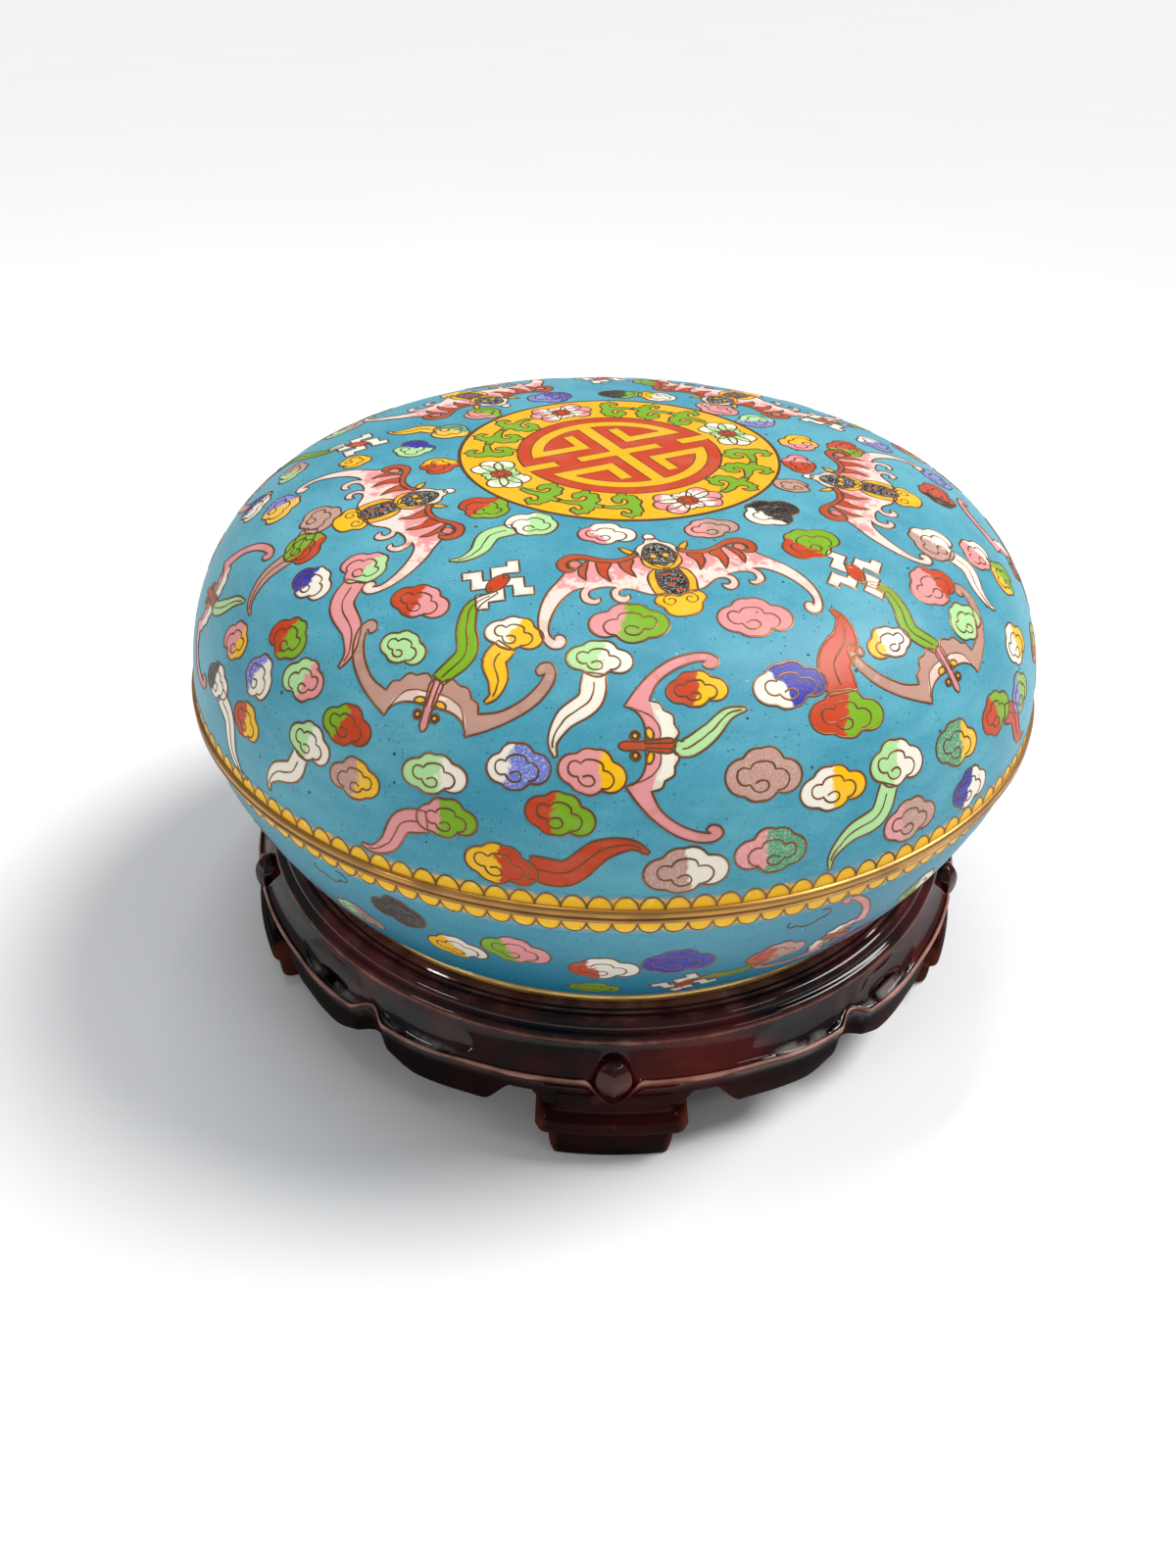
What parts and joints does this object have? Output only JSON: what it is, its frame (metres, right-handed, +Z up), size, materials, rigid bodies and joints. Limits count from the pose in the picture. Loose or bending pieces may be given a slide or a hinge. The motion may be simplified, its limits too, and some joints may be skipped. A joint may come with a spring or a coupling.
{
  "type": "cloisonne enamel box",
  "caption": "Round box with a domed lift-off lid, enamel worked in wire cells on metal, on its carved hardwood stand.",
  "frame": {"origin": "on the floor, at the centre of the stand", "axes": "+Z up, one foot of the stand towards -Y"},
  "size_m": [0.3, 0.3, 0.1905],
  "materials": {
    "turquoise_enamel": "fired and polished enamel, slightly pitted",
    "coloured_enamel": "fired and polished enamel in many colours",
    "gilt_brass": "worn gilding, satin",
    "lacquered_rosewood": "high gloss lacquer"
  },
  "bodies": {
    "root": {"lid": "turquoise_enamel", "base": "turquoise_enamel", "stand": "lacquered_rosewood"}
  },
  "joints": []
}
